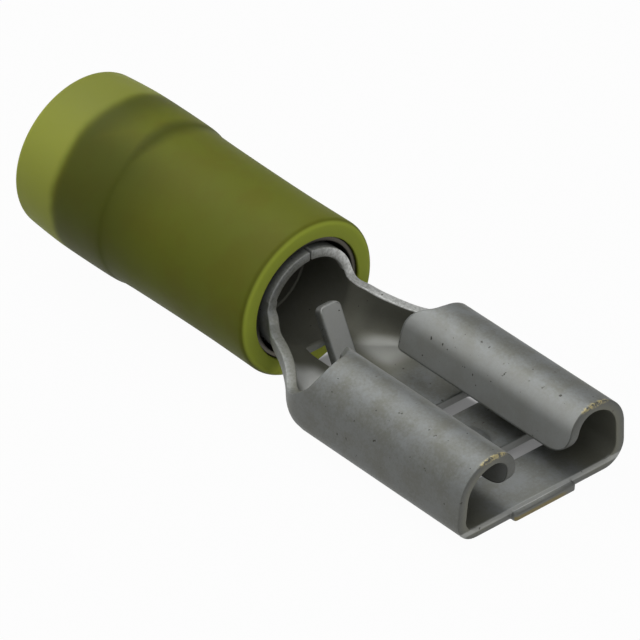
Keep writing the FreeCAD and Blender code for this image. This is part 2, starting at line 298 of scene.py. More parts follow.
@dataclass(frozen=True)
class TinPlate:
    """Dull tin plating on brass: mottled, pitted, rubbed bright, and brass where it was cut; with
    painted highlights, painted shade and painted warm bounce light.
    """

    light: Colour = (0.197, 0.208, 0.206, 1.0)
    dark: Colour = (0.150, 0.153, 0.134, 1.0)
    # Warm tint on the inner faces: painted bounce light.
    inside: Colour = (0.175, 0.174, 0.136, 1.0)
    # Painted shade for the neck's right wall.
    painted_shade: Colour = (0.070, 0.070, 0.055, 1.0)
    # Real polish, also used for painted highlights.
    polish_and_highlight: Colour = (0.62, 0.63, 0.61, 1.0)
    pit: Colour = (0.055, 0.052, 0.045, 1.0)
    brass: Colour = (0.50, 0.43, 0.22, 1.0)
    cut_brass: Colour = (0.22, 0.18, 0.075, 1.0)
    # Darker grey over the outer walls and the mouth's broken edges.
    darkened_grey: Colour = (0.105, 0.107, 0.096, 1.0)
    metallic: float = 0.6
    polish_and_highlight_share: float = 0.36
    mottle_per_mm: float = 1.1
    mottle_depth: float = 0.012
    speckle_per_mm: float = 9.0
    grain_per_mm: float = 22.0
    grain_depth: float = 0.004
    pits_per_mm: float = 5.0
    smoothest: float = 0.50
    roughest: float = 0.62
    edge_shine: float = 0.08
    blotch_fade: Fade = (0.60, 1.00)
    patchy_fade: Fade = (0.35, 0.60)
    patchy_least: float = 0.55
    bare_fade: Fade = (0.42, 0.56)
    pits_fade: Fade = (0.69, 0.73)
    darkened_walls: Zone = Zone(0.5, side=(3.50, 3.78))
    darkened_mouth: Zone = Zone(0.7, x=(10.3, 10.7), worn=(0.4, 1.0))
    # Worn cut edges, brighter on the right side by a painted highlight.
    barrel_edge: Zone = Zone(2.7, x=(3.7, 2.7), z=(-1.62, -1.20), worn=(0.5, 1.0))
    right_edge_fade: Fade = (-1.0, 1.6)
    left_edge_share: float = 0.22
    # Zones of painted highlights, laid on with the polish: the wire stop's face, the rolls' inner
    # strips, the neck's feet, the floor's front edge, the mouth's floor and the slot walls.
    stop_face: Zone = Zone(1.7, side=(0.47, 0.38))
    right_roll: Zone = Zone(1.1, x=(2.9, 3.1), y=(-0.1, 0.1, 1.33, 2.00), z=(-1.15, -0.95),
                            worn=(1.0, 0.0))
    left_roll: Zone = Zone(1.0, x=(2.9, 3.1), y=(-2.10, -1.40, -0.1, 0.1), z=(-1.15, -0.95),
                           worn=(1.0, 0.0))
    right_foot: Zone = Zone(1.55, x=(1.0, 1.7, 2.5, 3.4), y=(0.7, 1.3, 2.0, 2.6),
                            z=(-1.34, -1.62))
    left_foot: Zone = Zone(2.8, x=(1.0, 1.7, 2.5, 3.4), y=(-2.6, -2.0, -1.3, -0.7),
                           z=(-0.70, -1.25))
    lead_in: Zone = Zone(1.3, x=(11.50, 11.60, 11.68, 11.72), z=(-1.80, -1.72, -1.60, -1.52))
    mouth_floor: Zone = Zone(0.2, x=(9.7, 10.4), side=(2.6, 1.2), z=(-1.45, -1.55))
    slot_walls: Zone = Zone(1.9, x=(5.50, 5.60, 9.75, 9.85), z=(-1.64, -1.70), worn=(0.5, 1.0))
    # Where the painted shade lies on the neck's right wall.
    far_wall: Zone = Zone(0.5, x=(0.7, 1.3, 3.0, 3.6), y=(0.8, 1.2), z=(-1.50, -1.25))
    far_wall_rise: Fade = (-0.9, -0.2)
    far_wall_top: float = 0.3
    inside_x: Fade = (4.0, 3.0)
    inside_side: Fade = (1.5, 2.6)
    inside_share: float = 0.8
    worn_tops: Zone = Zone(x=(11.52, 11.62), z=(0.80, 0.95))
    cut_stub: Zone = Zone(0.9, x=(11.80, 11.84), y=(1.1, 0.7), z=(-1.78, -1.84))

    def material(self) -> bpy.types.Material:
        """Build the material, each layer over the last.

        Returns:
            The finished material.
        """
        graph = NodeGraph("tin_plate")
        mottle = graph.noise(self.mottle_per_mm, 4.0, 0.6)
        speckle = graph.noise(self.speckle_per_mm, 3.0, 0.6, 6.0)
        grain = graph.noise(self.grain_per_mm, 3.0, 0.6, 1.0)
        edge = self._edge(graph, speckle)
        darkened = graph.most(graph.zone(self.darkened_walls), graph.zone(self.darkened_mouth))
        bare = graph.times(graph.zone(self.worn_tops), graph.fade(speckle, self.bare_fade))
        pits = graph.fade(graph.noise(self.pits_per_mm, 2.0, 0.5, 3.0), self.pits_fade)
        blotch = graph.math("MULTIPLY_ADD", speckle, 0.6, mottle)
        colour = graph.mix(graph.fade(blotch, self.blotch_fade), self.dark, self.light)
        # Layers over the mottle: darker grey on the outer walls and mouth edges, painted warm
        # bounce light inside, painted shade on the neck's right wall, polish with painted
        # highlights, bare brass, cut brass and pits.
        layers = (
            (darkened, self.darkened_grey),
            (self._warm_bounce_share(graph), self.inside),
            (self._far_wall_shade(graph), self.painted_shade),
            (graph.times(self._polished_and_highlit(graph, edge), self.polish_and_highlight_share), self.polish_and_highlight),
            (bare, self.brass),
            (graph.zone(self.cut_stub), self.cut_brass),
            (pits, self.pit),
        )
        for share, over in layers:
            colour = graph.mix(share, colour, over)
        graph.put("Base Color", colour)
        graph.put("Metallic", self.metallic)
        dull = graph.band(grain, *MIDDLE, self.smoothest, self.roughest)
        graph.put("Roughness", graph.math("MULTIPLY_ADD", edge, -self.edge_shine, dull))
        fine = graph.bump(grain, self.grain_depth, 0.6)
        graph.put("Normal", graph.bump(mottle, self.mottle_depth, 0.5, fine))
        return graph.material

    def _edge(self, graph: NodeGraph, speckle: Socket) -> Socket:
        """Share of the cut edges round the barrel and the neck: real wear, with a painted highlight
        that makes their right side brighter.

        Args:
            graph: The material's nodes.
            speckle: Noise that makes them patchy.

        Returns:
            The share.
        """
        patchy = graph.band(speckle, *self.patchy_fade, self.patchy_least, 1.0)
        right = graph.band(graph.y, *self.right_edge_fade, self.left_edge_share, 1.0)
        return graph.times(graph.zone(self.barrel_edge), patchy, right)

    def _polished_and_highlit(self, graph: NodeGraph, edge: Socket) -> Socket:
        """Share of the places made bright: partly real rubbing by wires, tabs and drawing, partly
        painted highlights on the wire stop, the rolls' inner strips, the neck's feet, the floor's
        front edge and the mouth's floor.

        Args:
            graph: The material's nodes.
            edge: Share of the bright cut edges.

        Returns:
            The largest share.
        """
        stop = graph.times(graph.attribute("rubbed"), graph.zone(self.stop_face))
        zones = (self.right_roll, self.left_roll, self.right_foot, self.left_foot, self.lead_in,
                 self.mouth_floor, self.slot_walls)
        return graph.most(edge, stop, *(graph.zone(zone) for zone in zones))

    def _warm_bounce_share(self, graph: NodeGraph) -> Socket:
        """Share of the sheet's inner face that sees mostly other metal, where a warm painted bounce
        light is laid on.

        Args:
            graph: The material's nodes.

        Returns:
            The share.
        """
        deep = graph.most(graph.fade(graph.x, self.inside_x),
                          graph.fade(graph.side, self.inside_side))
        inner = graph.math("SUBTRACT", graph.attribute("inner"), graph.attribute("rubbed"))
        return graph.times(graph.fade(inner, (0.0, 1.0), self.inside_share), deep)

    def _far_wall_shade(self, graph: NodeGraph) -> Socket:
        """Share of painted shade on the neck's right wall above its foot."""
        height = graph.band(graph.z, *self.far_wall_rise, 1.0, self.far_wall_top)
        return graph.times(graph.zone(self.far_wall), height, graph.attribute("inner"))


@dataclass(frozen=True)
class DullSleeve:
    """Dull plated copper alloy of the grip sleeve."""

    light: Colour = (0.12, 0.11, 0.09, 1.0)
    dark: Colour = (0.06, 0.055, 0.045, 1.0)
    streaks_per_mm: float = 3.0
    streak_depth: float = 0.006
    smoothest: float = 0.34
    roughest: float = 0.48

    def material(self) -> bpy.types.Material:
        """Build the material.

        Returns:
            The finished material.
        """
        graph = NodeGraph("dull_sleeve")
        lengthwise = graph.stretched((1.0, 4.0, 4.0))
        streaks = graph.noise(self.streaks_per_mm, 4.0, 0.6, 5.0, lengthwise)
        graph.put("Base Color", graph.mix(streaks, self.dark, self.light))
        graph.put("Metallic", 1.0)
        graph.put("Roughness", graph.band(streaks, *MIDDLE, self.smoothest, self.roughest))
        graph.put("Normal", graph.bump(streaks, self.streak_depth, 0.5))
        return graph.material


@dataclass(frozen=True)
class TubeNylon:
    """Translucent yellow-green nylon, darker where the metal lies close under it, with a side and
    the front face painted lighter as if lit.
    """

    clear: Colour = (0.200, 0.219, 0.036, 1.0)
    # Painted light: the clear part lighter on its −y side.
    clear_painted_lit: Colour = (0.262, 0.287, 0.047, 1.0)
    over_metal: Colour = (0.117, 0.131, 0.011, 1.0)
    amber: Colour = (0.113, 0.109, 0.009, 1.0)
    shade: Colour = (0.040, 0.046, 0.006, 1.0)
    # Front face painted brighter, as if lit; its lower part is painted lit from below.
    rim_painted_light: Colour = (0.360, 0.420, 0.055, 1.0)
    lit_rim: Colour = (0.800, 0.880, 0.140, 1.0)
    lit_rim_zone: Zone = Zone(side=(1.8, 1.0), z=(-1.8, -2.4))
    rim_x: Fade = (-0.12, -0.02)
    behind_x: Fade = (-9.65, -10.15)
    end_ring_x: Fade = (-10.0, -9.5, -9.5, -7.8)
    step_ring_x: Fade = (-7.9, -7.4, -7.4, -6.8)
    right_ring_y: Fade = (0.0, 2.2)
    ring_share: float = 0.60
    right_ring_share: float = 0.40
    patch_x: Fade = (-9.8, -9.4)
    patch_y: Fade = (-0.4, -2.1)
    patch_share: float = 0.60
    patch_thins_x: Fade = (-8.0, -4.4)
    patch_rest: float = 0.25
    painted_lit_y: Fade = (-0.5, -2.6)
    amber_fade: Fade = (0.40, 0.65)
    amber_share: float = 0.5
    wander: float = 0.12
    scatter: tuple[float, float, float] = (1.0, 1.0, 0.25)
    scatter_depth: float = 0.5
    scatter_share: float = 0.25
    ripple_per_mm: float = 14.0
    ripple_depth: float = 0.003
    smoothest: float = 0.52
    roughest: float = 0.62

    def material(self) -> bpy.types.Material:
        """Build the material.

        Returns:
            The finished material.
        """
        graph = NodeGraph("tube_nylon")
        drift = graph.noise(0.45, 3.0, 0.5, 2.0)
        cloud = graph.noise(0.8, 3.0, 0.6, 7.0)
        x = graph.math("ADD", graph.x, graph.band(drift, *MIDDLE, -self.wander, self.wander))
        amber = graph.fade(cloud, self.amber_fade, self.amber_share)
        metal = graph.mix(amber, self.over_metal, self.amber)
        # Painted light on the clear part's −y side.
        clear = graph.mix(graph.fade(graph.y, self.painted_lit_y), self.clear, self.clear_painted_lit)
        colour = graph.mix(graph.fade(x, self.behind_x), metal, clear)
        colour = graph.mix(self._shaded(graph, x), colour, self.shade)
        # Painted light on the front face, brightest on its lower part.
        rim_painted_light = graph.mix(graph.zone(self.lit_rim_zone), self.rim_painted_light, self.lit_rim)
        graph.put("Base Color", graph.mix(graph.fade(graph.x, self.rim_x), colour, rim_painted_light))
        graph.put("Roughness", graph.band(drift, *MIDDLE, self.smoothest, self.roughest))
        graph.put("Subsurface Weight", self.scatter_share)
        graph.put("Subsurface Radius", self.scatter)
        graph.put("Subsurface Scale", self.scatter_depth * MM)
        graph.put("Specular IOR Level", 0.10)
        ripple = graph.noise(self.ripple_per_mm, 2.0, 0.5, 4.0)
        graph.put("Normal", graph.bump(ripple, self.ripple_depth, 0.4))
        return graph.material

    def _shaded(self, graph: NodeGraph, x: Socket) -> Socket:
        """Share of shade: two rings over the sleeve's end and step, and a stretch on the left.

        Args:
            graph: The material's nodes.
            x: Place along the tube, wandering a little.

        Returns:
            The share.
        """
        rings = graph.most(graph.fade(x, self.end_ring_x), graph.fade(x, self.step_ring_x))
        share = graph.band(graph.y, *self.right_ring_y, self.ring_share, self.right_ring_share)
        patch = graph.times(graph.fade(graph.y, self.patch_y, self.patch_share),
                            graph.fade(x, self.patch_x),
                            graph.band(x, *self.patch_thins_x, 1.0, self.patch_rest))
        return graph.most(graph.times(rings, share), patch)


def add_object(name: str, data: bpy.types.ID) -> bpy.types.Object:
    """Put an object with its mesh, lamp or camera in the scene, at the origin.

    Args:
        name: Name of the object.
        data: Its mesh, lamp or camera.

    Returns:
        The object.
    """
    item = bpy.data.objects.new(name, data)
    bpy.context.scene.collection.objects.link(item)
    return item


def finish_piece(mesh: Mesh, name: str, material: bpy.types.Material, node: str,
                 crease_deg: float = 35.0) -> bpy.types.Object:
    """Lay a mesh in the frame, shade it, and let it stand for its node.

    Args:
        mesh: The mesh, in millimetres in the terminal's own axes.
        name: Name of the piece.
        material: Its finish.
        node: The node that the piece stands for.
        crease_deg: Edges sharper than this stay sharp.

    Returns:
        The finished object.
    """
    for face in mesh.faces:
        face.smooth = True
    for edge in mesh.edges:
        edge.smooth = edge.calc_face_angle(math.pi) < math.radians(crease_deg)
    bmesh.ops.transform(mesh, matrix=OWN, verts=mesh.verts)
    data = bpy.data.meshes.new(name)
    mesh.to_mesh(data)
    mesh.free()
    data.materials.append(material)
    piece = add_object(name, data)
    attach(piece, "root")
    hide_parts(node)
    LOG.info("%s: %d faces", name, len(data.polygons))
    return piece


def turned(profile: Profile, steps: int) -> Mesh:
    """Turn a closed outline about the X axis.

    Args:
        profile: Points (x, radius) in order round the outline.
        steps: Facets round the axis.

    Returns:
        The ring, with its faces pointing outwards.
    """
    mesh = bmesh.new()
    ring = [mesh.verts.new((x, 0.0, r)) for x, r in profile]
    edges = [mesh.edges.new((a, b)) for a, b in zip(ring, ring[1:] + ring[:1])]
    bmesh.ops.spin(mesh, geom=ring + edges, cent=(0, 0, 0), axis=(1, 0, 0), angle=math.tau,
                   steps=steps, use_merge=True, use_normal_flip=False, dvec=(0, 0, 0))
    bmesh.ops.remove_doubles(mesh, verts=mesh.verts, dist=SAME)
    bmesh.ops.recalc_face_normals(mesh, faces=mesh.faces)
    return mesh


def cut_edges(mesh: Mesh) -> list[Edge]:
    """Edges of a mesh between faces that meet steeply."""
    return [e for e in mesh.edges if e.calc_face_angle(0.0) > math.radians(CUT_EDGE_DEG)]


def round_edges(mesh: Mesh, edges: list[Edge], size: float, segments: int = 3,
                clamp: bool = True) -> list[bmesh.types.BMVert]:
    """Round edges of a mesh.

    Args:
        mesh: The mesh.
        edges: The edges to round.
        size: How far the round reaches in from an edge.
        segments: Strips of faces in the round.
        clamp: Whether rounds that would run into each other are made smaller.

    Returns:
        The vertices of the rounds.
    """
    rounds = bmesh.ops.bevel(mesh, geom=edges, offset=size, offset_type="OFFSET", affect="EDGES",
                             segments=segments, profile=0.5, material=-1, clamp_overlap=clamp)
    return rounds["verts"]


def quarter(start: Point, end: Point, centre: Point, steps: int = 8) -> Profile:
    """Quarter round between two points, without the end point.

    Args:
        start: First point.
        end: Last point.
        centre: Centre of the round.
        steps: Stretches of the round.

    Returns:
        The points from the start on.
    """
    first = Vector(start) - Vector(centre)
    last = Vector(end) - Vector(centre)
    points = []
    for i in range(steps):
        angle = math.pi / 2 * i / steps
        point = Vector(centre) + first * math.cos(angle) + last * math.sin(angle)
        points.append((point.x, point.y))
    return points


def hermite(a: float, b: float, slope_a: float, slope_b: float, t: float) -> float:
    """Value on a smooth curve between two values.

    Args:
        a: First value.
        b: Last value.
        slope_a: Slope at the first value, over the whole way.
        slope_b: Slope at the last value, over the whole way.
        t: Share of the way from the first to the last.

    Returns:
        The value.
    """
    return ((2 * t ** 3 - 3 * t ** 2 + 1) * a + (t ** 3 - 2 * t ** 2 + t) * slope_a
            + (3 * t ** 2 - 2 * t ** 3) * b + (t ** 3 - t ** 2) * slope_b)


def smooth_step(share: float) -> float:
    """Smooth step from 0 to 1, level beyond either end."""
    share = min(max(share, 0.0), 1.0)
    return share * share * (3.0 - 2.0 * share)


def smooth_through(stations: Profile, steps: int = 6) -> Profile:
    """Smooth curve through stations, without the last one.

    Args:
        stations: Points that the curve goes through.
        steps: Stretches between two stations.

    Returns:
        The points of the curve.
    """
    padded = [stations[0]] + stations + [stations[-1]]
    points = []
    for before, a, b, after in zip(padded, padded[1:], padded[2:], padded[3:]):
        slopes = [((b[k] - before[k]) / 2.0, (after[k] - a[k]) / 2.0) for k in (0, 1)]
        for i in range(steps):
            x, r = (hermite(a[k], b[k], *slopes[k], i / steps) for k in (0, 1))
            points.append((x, r))
    return points


@dataclass(frozen=True)
class GripSleeve:
    """Thin metal sleeve over the barrel, wider behind it for the wire's insulation."""

    wall: float = 0.20
    bore_r: float = 2.00
    back_bore_r: float = 2.45
    front_x: float = -0.12
    rear_x: float = -9.85
    flare: float = 0.14
    flare_length: float = 0.90
    step_front_x: float = -6.95
    step_rear_x: float = -7.60
    steps: int = 96

    def path(self, offset: float) -> Profile:
        """Bore from the front rim to the rear end, moved out by an offset.

        Args:
            offset: How far outside the bore the path runs.

        Returns:
            The path's points (x, radius).
        """
        bore, back = self.bore_r + offset, self.back_bore_r + offset
        return [
            (self.front_x, bore + self.flare),
            (self.front_x - self.flare_length / 3.0, bore + self.flare),
            (self.front_x - self.flare_length, bore),
            (self.step_front_x, bore),
            (self.step_rear_x, back),
            (self.rear_x, back),
        ]

    def build(self) -> bpy.types.Object:
        """Build the sleeve.

        Returns:
            The finished piece.
        """
        mesh = turned(self.path(0.0) + self.path(self.wall)[::-1], self.steps)
        round_edges(mesh, cut_edges(mesh), self.wall / 4.0)
        return finish_piece(mesh, "sleeve_shell", DullSleeve().material(),
                            "grip_sleeve")


@dataclass(frozen=True)
class InsulatingTube:
    """Insulating tube, moulded close round the sleeve and rounded at both ends."""

    sleeve: GripSleeve
    length: float = 12.0
    front_round: float = 0.25
    rear_round: float = 0.20
    inner_round: float = 0.05
    inner_steps: int = 4
    stations: tuple[Point, ...] = (
        (-0.25, 3.00), (-2.60, 2.975), (-5.20, 3.00), (-7.05, 3.045),
        (-7.70, 3.125), (-9.90, 3.147), (-11.00, 3.105), (-11.80, 3.045),
    )
    steps: int = 128

    def outline(self) -> Profile:
        """Closed outline of the wall, from the front face along the bore and back outside.

        Returns:
            The outline's points (x, radius).
        """
        seat = self.sleeve.path(self.sleeve.wall)
        (front_x, front_r), (rear_x, rear_r) = self.stations[0], self.stations[-1]
        front_seat, rear_seat, small = seat[0][1], seat[-1][1], self.inner_round
        front_bore = (0.0, front_seat + small)
        rear_bore = (-self.length, rear_seat + small)
        rear_in = small - self.length
        rear_face = (-self.length, rear_r - self.rear_round)
        front_face = (0.0, front_r - self.front_round)
        return [
            *quarter(front_bore, (-small, front_seat), (-small, front_bore[1]), self.inner_steps),
            *seat,
            *quarter((rear_in, rear_seat), rear_bore, (rear_in, rear_bore[1]), self.inner_steps),
            rear_bore,
            *quarter(rear_face, (rear_x, rear_r), (rear_x, rear_face[1])),
            *smooth_through(list(self.stations[::-1])),
            *quarter((front_x, front_r), front_face, (front_x, front_face[1])),
            front_face,
        ]

    def build(self) -> bpy.types.Object:
        """Build the tube."""
        mesh = turned(self.outline(), self.steps)
        return finish_piece(mesh, "nylon_tube", TubeNylon().material(), "insulator",
                            CUT_EDGE_DEG)


def eased(stations: tuple[Station, ...], place: float) -> list[float]:
    """Values at a place on smooth curves through stations.

    Args:
        stations: Rows of a place and the values there, with rising places.
        place: Where the values are wanted.

    Returns:
        The values, those of the end station beyond either end.
    """
    place = min(max(place, stations[0][0]), stations[-1][0])
    last = len(stations) - 1
    k = max(i for i in range(last) if stations[i][0] <= place)
    a, b = stations[k], stations[k + 1]
    before, after = stations[max(k - 1, 0)], stations[min(k + 2, last)]
    span = b[0] - a[0]
    values = []
    for n in range(1, len(a)):
        slope_a = (b[n] - before[n]) / (b[0] - before[0]) * span
        slope_b = (after[n] - a[n]) / (after[0] - a[0]) * span
        values.append(hermite(a[n], b[n], slope_a, slope_b, (place - a[0]) / span))
    return values


def total(stretches: list[Stretch]) -> float:
    """Length of several stretches together."""
    return sum(reach for reach, _ in stretches)


def follow(stretches: list[Stretch], length: float) -> Point:
    """Point reached along straight stretches and bends to the left, from the origin along +Y.

    Args:
        stretches: Length and radius of each stretch, with a radius of 0 for a straight one.
        length: How far along them the point is.

    Returns:
        The point (y, z).
    """
    y = z = heading = 0.0
    for reach, radius in stretches:
        step = min(length, reach)
        if radius:
            turn = heading + step / radius
            y += radius * (math.sin(turn) - math.sin(heading))
            z += radius * (math.cos(heading) - math.cos(turn))
            heading = turn
        else:
            y += step * math.cos(heading)
            z += step * math.sin(heading)
        length -= step
    return y, z


def spread(start: float, end: float, count: int) -> list[float]:
    """Evenly spaced places from a start up to an end, without the end."""
    return [start + (end - start) * i / count for i in range(count)]


def rounded_corner(place: Point, corner: Point, radius: float, away: float = 1.0) -> Point:
    """Draw a place of the flat blank in, so that the blank's corner becomes a quarter circle.

    Args:
        place: The place, as x and length across the blank.
        corner: The blank's square corner, with the blank on the near side of its length.
        radius: Radius of the quarter circle.
        away: 1 for a front corner, -1 for a rear one.

    Returns:
        The place after rounding.
    """
    u = 1.0 - away * (corner[0] - place[0]) / radius
    v = 1.0 - (corner[1] - place[1]) / radius
    if u <= 0.0 or v <= 0.0:
        return place
    x = corner[0] - away * radius * (1.0 - u * math.sqrt(1.0 - v * v / 2.0))
    length = corner[1] - radius * (1.0 - v * math.sqrt(1.0 - u * u / 2.0))
    return x, length


@dataclass(frozen=True)
class Opening:
    """Opening in the flat blank: from one x to another and from one row to another."""

    x_from: float
    x_to: float
    row_from: int
    row_to: int

    def holds(self, place: Vector) -> bool:
        """Whether a place of the blank, as x and row, lies in the opening."""
        return self.x_from < place.x < self.x_to and self.row_from < place.y < self.row_to


@dataclass(frozen=True)
class TerminalBody:
    """The one-piece stamping: a flat blank rolled into barrel, neck, wire stop and receptacle.

    A row of the neck is x, the floor's half width, the corner's radius and the wall's lean in
    degrees. A row of the shoulder edge is x and height, one of the roll's rear edge height and x.
    """

    sheet: float = 0.37
    barrel_r: float = 2.00
    barrel_rear_x: float = -6.90
    nose_x: float = 0.08
    seam_gap: float = 0.10
    grooves_x: tuple[float, ...] = (-5.05, -3.45, -1.85)
    groove_width: float = 0.45
    groove_depth: float = 0.07
    groove_slope: float = 0.04
    neck: tuple[Station, ...] = (
        (0.08, 0.00, 2.00, 0.0), (0.18, 0.02, 1.99, 0.0), (0.36, 0.16, 1.96, 0.0),
        (0.64, 0.36, 1.93, 0.0), (1.20, 0.80, 1.68, 2.0), (1.75, 1.36, 1.37, 3.0),
        (2.25, 1.93, 1.11, 1.0), (2.80, 2.52, 0.95, 0.0), (3.30, 2.83, 0.89, 2.0),
        (3.80, 2.94, 0.87, 4.0),
    )
    shoulder_edge: tuple[Station, ...] = (
        (0.08, 0.75), (0.095, 0.56), (0.14, 0.38), (0.21, 0.22), (0.30, 0.11), (0.42, 0.03),
        (0.80, -0.08), (1.73, -0.26), (2.46, -0.46), (2.95, -0.52), (3.45, -0.33), (3.90, 0.05),
        (4.13, 0.42), (4.26, 0.80), (4.28, 1.30),
    )
    roll_rear_edge: tuple[Station, ...] = (
        (-1.05, 3.20), (-0.33, 3.27), (0.12, 3.35), (0.45, 3.45), (0.73, 3.63), (0.90, 3.91),
        (1.00, 4.17), (1.06, 4.28),
    )
    lowest_edge: int = 9
    barrel_fade: float = 0.50
    least_bend: float = 0.001
    even_x: float = 0.6
    even_fade: float = 1.6
    top_blend: float = 0.15
    wall_height: float = 0.70
    shoulder_r: float = 1.50
    curl_r: float = 1.00
    lip_lean: float = 5.0
    lip_z: float = -0.87
    lip_front_r: float = 1.10
    lip_rear_r: float = 0.20
    mouth_x: float = 11.66
    slots_x: tuple[float, ...] = (5.71, 8.87)
    slot_length: float = 0.77
    slot_half: float = 2.30
    slot_corner_r: float = 0.10
    detent_r: float = 0.92
    detent_flank: float = 0.45
    detent_rise: float = 0.16
    detent_ahead: float = 0.20
    stub_length: float = 0.23
    stub_half: float = 1.40
    stub_corner_r: float = 0.12
    window_rear_x: float = 0.38
    window_half: float = 0.50
    hinge_x: float = 2.30
    stop_half: float = 0.48
    stop_bend_r: float = 0.20
    stop_angle: float = 61.0
    stop_length: float = 2.20
    stop_break: float = 0.075
    stop_corner_r: float = 0.28
    lead_in: float = 0.08
    lead_in_drop: float = 0.07
    edge_break: float = 0.05
    window_rows: int = 6
    stub_rows: int = 12
    slot_rows: int = 18
    floor_rows: int = 23
    corner_rows: int = 12
    wall_rows: int = 5
    shoulder_rows: int = 16
    curl_rows: int = 14
    lip_rows: int = 8
    bend_rows: int = 8
    round_rows: int = 4

    def build(self) -> bpy.types.Object:
        """Cut the blank, roll it, and give the sheet its thickness.

        Returns:
            The finished piece.
        """
        mesh = self._blank()
        for vert in mesh.verts:
            vert.co = self._rolled(vert.co.x, round(vert.co.y))
        self._raise_detent(mesh)
        names = ("corner_radius", "rubbed", "worn", "inner")
        corners, rubbed, worn, inner = [mesh.verts.layers.float.new(name) for name in names]
        self._grow_stub(mesh)
        self._grow_stop(mesh, rubbed)
        self._mark_corners(mesh, corners)
        whole = mesh.verts[:] + mesh.edges[:] + mesh.faces[:]
        bmesh.ops.mirror(mesh, geom=whole, matrix=Matrix.Identity(4), merge_dist=SAME, axis="Y")
        bmesh.ops.remove_doubles(mesh, verts=mesh.verts, dist=SAME)
        bmesh.ops.recalc_face_normals(mesh, faces=mesh.faces)
        front = max(mesh.faces, key=lambda face: face.calc_center_median().x)
        if front.normal.z > 0.0:
            bmesh.ops.reverse_faces(mesh, faces=mesh.faces)
        outer = set(mesh.verts)
        bmesh.ops.solidify(mesh, geom=mesh.faces, thickness=self.sheet)
        for vert in set(mesh.verts) - outer:
            vert[inner] = 1.0
        self._round_corners(mesh, corners)
        self._break_edges(mesh, rubbed, worn)
        self._coin(mesh)
        bmesh.ops.recalc_face_normals(mesh, faces=mesh.faces)
        return finish_piece(mesh, "stamped_terminal", TinPlate().material(),
                            "terminal_body")

    @property
    def under_z(self) -> float:
        """Height of the floor's underside."""
        return -self.barrel_r

    @property
    def wall_row(self) -> int:
        """Row at the top of the side wall."""
        return self.floor_rows + self.corner_rows + self.wall_rows

    @property
    def last_row(self) -> int:
        """Row at the seam and at the lip."""
        return self.wall_row + self.shoulder_rows + self.curl_rows + self.lip_rows

    @property
    def wall_top_z(self) -> float:
        """Height where the side wall turns into the shoulder."""
        _, _, corner_r, lean = self.neck[-1]
        slope = math.radians(lean)
        corner_top = self.under_z + corner_r * (1.0 + math.sin(slope))
        return corner_top + self.wall_height * math.cos(slope)

    @property
    def climb(self) -> tuple[Station, ...]:
        """Height and x of the shoulder edge from its lowest point on."""
        return tuple((z, x) for x, z in self.shoulder_edge[self.lowest_edge:])

    @property
    def notch_x(self) -> float:
        """Where the shoulder edge climbs past the top of the side wall."""
        return eased(self.climb, self.wall_top_z)[0]

    @property
    def detent_x(self) -> float:
        """Middle of the detent."""
        return (self.slots_x[0] + self.slot_length + self.slots_x[1]) / 2.0 + self.detent_ahead

    def _columns(self) -> list[float]:
        """Places of the blank's columns, close together where the sheet bends or is cut.

        Returns:
            Their x, rising.
        """
        places = []
        x = self.barrel_rear_x
        half = self.groove_width / 2.0
        for groove in self.grooves_x:
            places += spread(x, groove - half, 3)
            places += [groove - half, groove - half + self.groove_slope,
                       groove + half - self.groove_slope]
            x = groove + half
        slot_1, slot_2 = self.slots_x
        stretches = [
            (x, 4), (self.nose_x, 1), (self.shoulder_edge[1][0], 2), (self.shoulder_edge[2][0], 2),
            (self.shoulder_edge[3][0], 4), (self.window_rear_x, 20), (self.hinge_x, 11),
            (self.notch_x, 4), (self.neck[-1][0], 8), (slot_1, 3), (slot_1 + self.slot_length, 2),
            (self.detent_x - self.detent_r, 24), (self.detent_x + self.detent_r, 1), (slot_2, 3),
            (slot_2 + self.slot_length, 5), (self.mouth_x - self.lip_front_r, 8),
            (self.mouth_x - self.lead_in, 1), (self.mouth_x, 1),
        ]
        for (start, count), (end, _) in zip(stretches, stretches[1:]):
            places += spread(start, end, count)
        return places + [self.mouth_x]

    def _openings(self) -> list[Opening]:
        """The floor's two slots, the notch behind the rolled sides and the wire stop's window.

        Returns:
            The openings of the blank's right half.
        """
        slots = [Opening(x, x + self.slot_length, 0, self.slot_rows) for x in self.slots_x]
        return slots + [
            Opening(self.nose_x, self.notch_x, self.wall_row, self.last_row),
            Opening(self.window_rear_x, self.hinge_x, 0, self.window_rows),
        ]

    def _blank(self) -> Mesh:
        """Right half of the flat blank, with x along it and the row number across it.

        Returns:
            The blank with its openings cut.
        """
        columns = self._columns()
        count, half = len(columns) - 1, 0.5
        mesh = bmesh.new()
        bmesh.ops.create_grid(mesh, x_segments=count, y_segments=self.last_row, size=half)
        for vert in mesh.verts:
            column = round((vert.co.x + half) * count)
            vert.co = Vector((columns[column], round((vert.co.y + half) * self.last_row), 0.0))
        openings = self._openings()
        waste = [face for face in mesh.faces
                 if any(opening.holds(face.calc_center_median()) for opening in openings)]
        bmesh.ops.delete(mesh, geom=waste, context="FACES")
        return mesh

